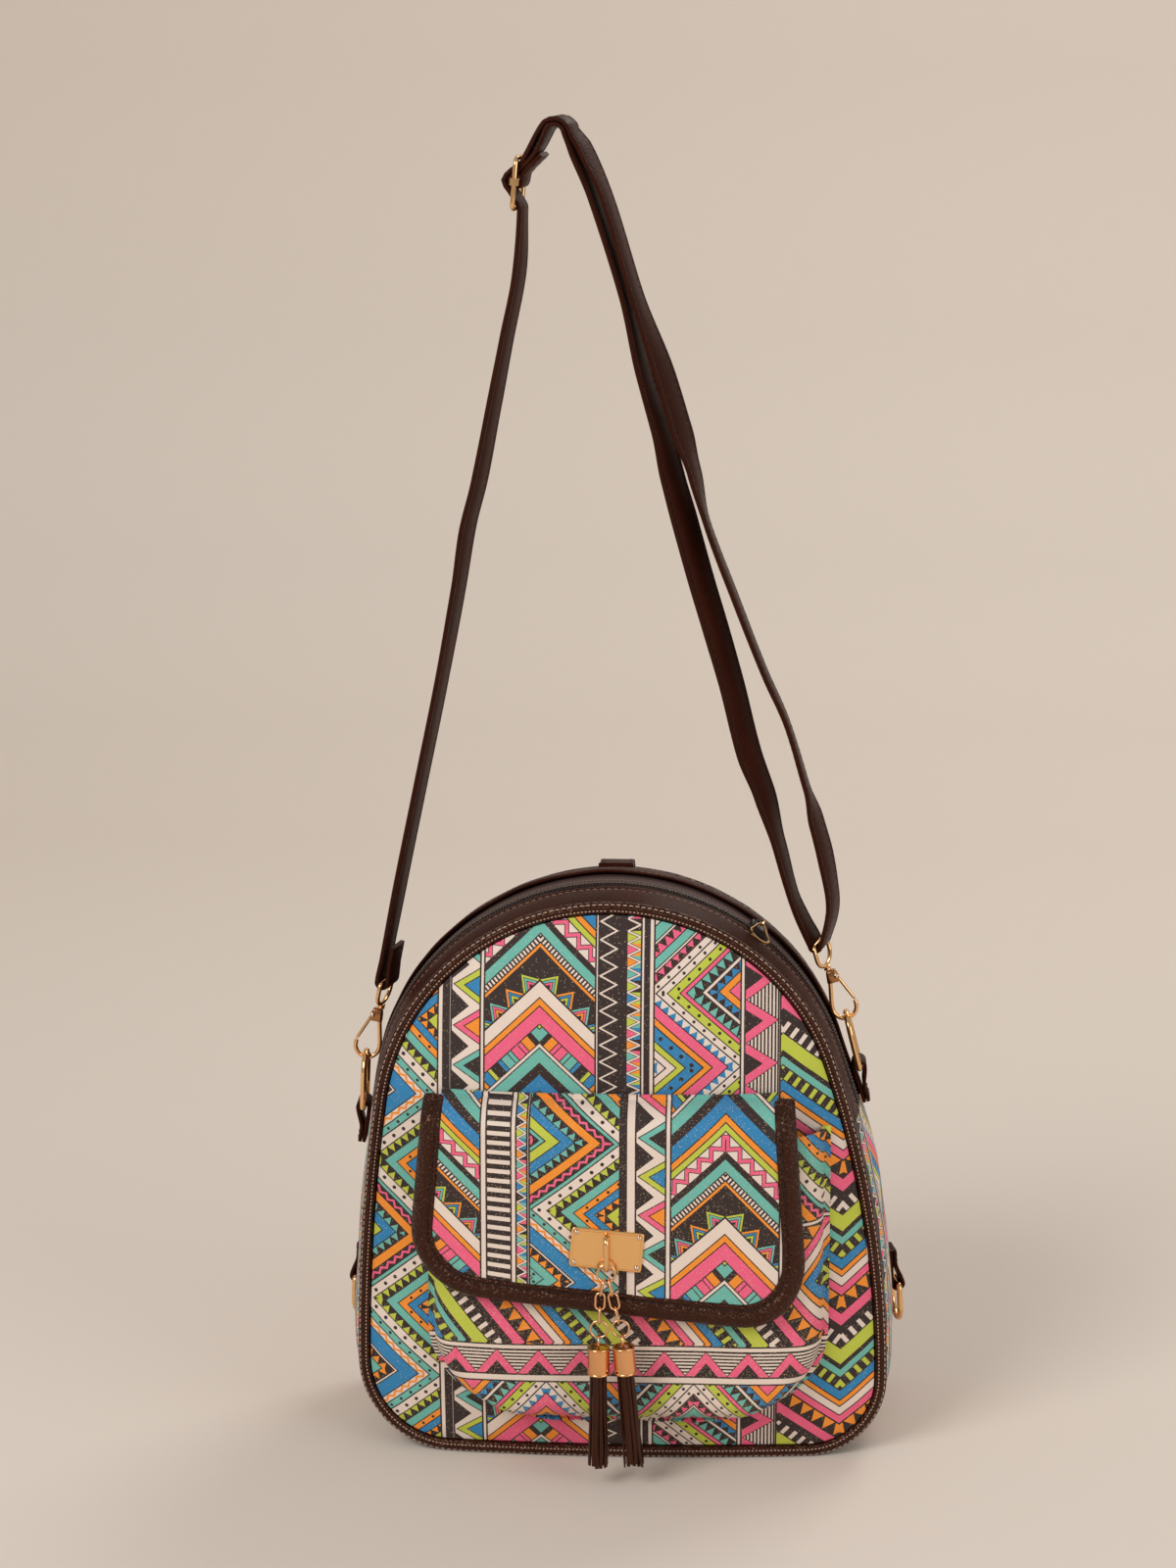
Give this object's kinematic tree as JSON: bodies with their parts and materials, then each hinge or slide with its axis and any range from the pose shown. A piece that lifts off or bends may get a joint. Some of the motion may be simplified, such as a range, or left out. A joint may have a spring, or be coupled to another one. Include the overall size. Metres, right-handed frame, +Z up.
{
  "type": "backpack",
  "caption": "Small printed canvas backpack with an arched zip, a flap pocket with hanging tassels, and a long sling strap on snap hooks.",
  "frame": {"origin": "middle of the flat bottom, which the bag stands on", "axes": "+Z up, -Y the front with the pocket, +X to the right of someone who looks at the front"},
  "size_m": [0.2857, 0.1602, 0.6522],
  "materials": {
    "printed_canvas": "woven, printed",
    "brown_leather": "pebble grain, satin",
    "zip_tape": "woven",
    "zip_coil": "satin",
    "gold_metal": "polished",
    "black_enamel": "gloss"
  },
  "bodies": {
    "bag": {"front_panel": "printed_canvas", "back_panel": "printed_canvas", "front_piping": "brown_leather", "back_piping": "brown_leather", "lower_gusset": "printed_canvas", "gusset_strip_front": "brown_leather", "gusset_strip_rear": "brown_leather", "zip_tape_front": "zip_tape", "zip_tape_rear": "zip_tape", "zip_teeth": "zip_coil", "pocket": "printed_canvas", "flap": "printed_canvas", "flap_binding": "brown_leather", "snap_socket": "gold_metal", "snap_stud": "gold_metal", "plate": "gold_metal", "plate_rivet_1": "gold_metal", "plate_rivet_2": "gold_metal", "plate_rivet_3": "gold_metal", "plate_rivet_4": "gold_metal", "plate_staple": "gold_metal", "left_side_tab": "brown_leather", "right_side_tab": "brown_leather", "left_rear_tab": "brown_leather", "right_rear_tab": "brown_leather", "top_loop": "brown_leather", "strap": "brown_leather", "strap_adjuster": "gold_metal", "adjuster_bar": "gold_metal"},
    "slider": {"zip_slider": "black_enamel"},
    "pull": {"zip_pull": "gold_metal"},
    "jump_ring": {"jump_ring": "gold_metal"},
    "left_link_1": {"left_link_1": "gold_metal"},
    "left_link_2": {"left_link_2": "gold_metal"},
    "left_link_3": {"left_link_3": "gold_metal"},
    "left_tassel_ring": {"left_tassel_ring": "gold_metal"},
    "left_tassel": {"left_tassel_cap": "gold_metal", "left_fringe": "brown_leather"},
    "left_side_ring": {"left_side_ring": "gold_metal"},
    "left_rear_ring": {"left_rear_ring": "gold_metal"},
    "left_eye": {"left_hook_eye": "gold_metal"},
    "left_hook": {"left_hook_frame": "gold_metal", "left_gate_pin": "gold_metal"},
    "left_gate": {"left_gate": "gold_metal"},
    "right_link_1": {"right_link_1": "gold_metal"},
    "right_link_2": {"right_link_2": "gold_metal"},
    "right_link_3": {"right_link_3": "gold_metal"},
    "right_tassel_ring": {"right_tassel_ring": "gold_metal"},
    "right_tassel": {"right_tassel_cap": "gold_metal", "right_fringe": "brown_leather"},
    "right_side_ring": {"right_side_ring": "gold_metal"},
    "right_rear_ring": {"right_rear_ring": "gold_metal"},
    "right_eye": {"right_hook_eye": "gold_metal"},
    "right_hook": {"right_hook_frame": "gold_metal", "right_gate_pin": "gold_metal"},
    "right_gate": {"right_gate": "gold_metal"}
  },
  "joints": [
    {"name": "slider_ride", "type": "hinge", "parent": "bag", "child": "slider", "pos_m": [-0.0065, -0.018, 0.1655], "axis": [0, 1, 0], "range_deg": [-111, 29]},
    {"name": "pull_flip", "type": "hinge", "parent": "slider", "child": "pull", "pos_m": [0.06749, -0.018, 0.26369], "axis": [0.7986, 0, -0.6018], "range_deg": [-105, 0]},
    {"name": "jump_ring_swing", "type": "hinge", "parent": "bag", "child": "jump_ring", "pos_m": [-0.0061, -0.09559, 0.112], "axis": [0, 1, 0], "range_deg": [-12, 12]},
    {"name": "left_link_1_swing", "type": "hinge", "parent": "jump_ring", "child": "left_link_1", "pos_m": [-0.00759, -0.09559, 0.10536], "axis": [0.9397, 0, -0.342], "range_deg": [-30, 0]},
    {"name": "left_link_2_swing", "type": "hinge", "parent": "left_link_1", "child": "left_link_2", "pos_m": [-0.00894, -0.09559, 0.09839], "axis": [0, 1, 0], "range_deg": [0, 25]},
    {"name": "left_link_3_swing", "type": "hinge", "parent": "left_link_2", "child": "left_link_3", "pos_m": [-0.00919, -0.09559, 0.0913], "axis": [0.9994, 0, -0.0349], "range_deg": [-30, 0]},
    {"name": "left_tassel_ring_swing", "type": "hinge", "parent": "left_link_3", "child": "left_tassel_ring", "pos_m": [-0.00944, -0.09559, 0.0842], "axis": [0, 1, 0], "range_deg": [0, 25]},
    {"name": "left_tassel_swing", "type": "hinge", "parent": "left_tassel_ring", "child": "left_tassel", "pos_m": [-0.00969, -0.09559, 0.07711], "axis": [0.9994, 0, -0.0349], "range_deg": [-30, 0]},
    {"name": "right_link_1_swing", "type": "hinge", "parent": "jump_ring", "child": "right_link_1", "pos_m": [-0.00461, -0.09559, 0.10536], "axis": [0.9397, 0, 0.342], "range_deg": [-30, 0]},
    {"name": "right_link_2_swing", "type": "hinge", "parent": "right_link_1", "child": "right_link_2", "pos_m": [-0.00301, -0.09559, 0.09844], "axis": [0, 1, 0], "range_deg": [-25, 0]},
    {"name": "right_link_3_swing", "type": "hinge", "parent": "right_link_2", "child": "right_link_3", "pos_m": [-0.00142, -0.09559, 0.09153], "axis": [0.9744, 0, 0.225], "range_deg": [-30, 0]},
    {"name": "right_tassel_ring_swing", "type": "hinge", "parent": "right_link_3", "child": "right_tassel_ring", "pos_m": [0.00018, -0.09559, 0.08461], "axis": [0, 1, 0], "range_deg": [-25, 0]},
    {"name": "right_tassel_swing", "type": "hinge", "parent": "right_tassel_ring", "child": "right_tassel", "pos_m": [0.00178, -0.09559, 0.07769], "axis": [0.9744, 0, 0.225], "range_deg": [-30, 0]},
    {"name": "left_side_ring_swing", "type": "hinge", "parent": "bag", "child": "left_side_ring", "pos_m": [-0.13143, 0, 0.16255], "axis": [0, 1, 0], "range_deg": [-0.8, 0.8]},
    {"name": "left_rear_ring_swing", "type": "hinge", "parent": "bag", "child": "left_rear_ring", "pos_m": [-0.13807, 0.02875, 0.06216], "axis": [0.1777, 0.9841, -0.0046], "range_deg": [0, 100]},
    {"name": "left_eye_swing", "type": "hinge", "parent": "bag", "child": "left_eye", "pos_m": [-0.11937, 0, 0.22764], "axis": [0.2034, 0.9781, -0.0432], "range_deg": [-0.6, 0.6]},
    {"name": "left_hook_swivel", "type": "hinge", "parent": "left_eye", "child": "left_hook", "pos_m": [-0.12333, 0, 0.20901], "axis": [0.2079, 0, 0.9781], "range_deg": [-12, 12]},
    {"name": "left_gate_open", "type": "hinge", "parent": "left_hook", "child": "left_gate", "pos_m": [-0.12644, 0, 0.20977], "axis": [0, 1, 0], "range_deg": [-25, 0], "stiffness_Nm_per_rad": 0.01, "springref_deg": 8.59},
    {"name": "right_side_ring_swing", "type": "hinge", "parent": "bag", "child": "right_side_ring", "pos_m": [0.11628, 0.00001, 0.1867], "axis": [0, 1, 0], "range_deg": [-0.8, 0.8]},
    {"name": "right_rear_ring_swing", "type": "hinge", "parent": "bag", "child": "right_rear_ring", "pos_m": [0.13765, 0.02875, 0.06241], "axis": [-0.1774, 0.9841, -0.0115], "range_deg": [-100, 0]},
    {"name": "right_eye_swing", "type": "hinge", "parent": "bag", "child": "right_eye", "pos_m": [0.09567, 0.00001, 0.24998], "axis": [0.2963, 0.9511, 0.0878], "range_deg": [-0.6, 0.6]},
    {"name": "right_hook_swivel", "type": "hinge", "parent": "right_eye", "child": "right_hook", "pos_m": [0.10108, 0.00001, 0.23172], "axis": [-0.284, 0, 0.9588], "range_deg": [-12, 12]},
    {"name": "right_gate_open", "type": "hinge", "parent": "right_hook", "child": "right_gate", "pos_m": [0.10412, 0.00001, 0.23272], "axis": [0, 1, 0], "range_deg": [0, 25], "stiffness_Nm_per_rad": 0.01, "springref_deg": -8.59}
  ]
}
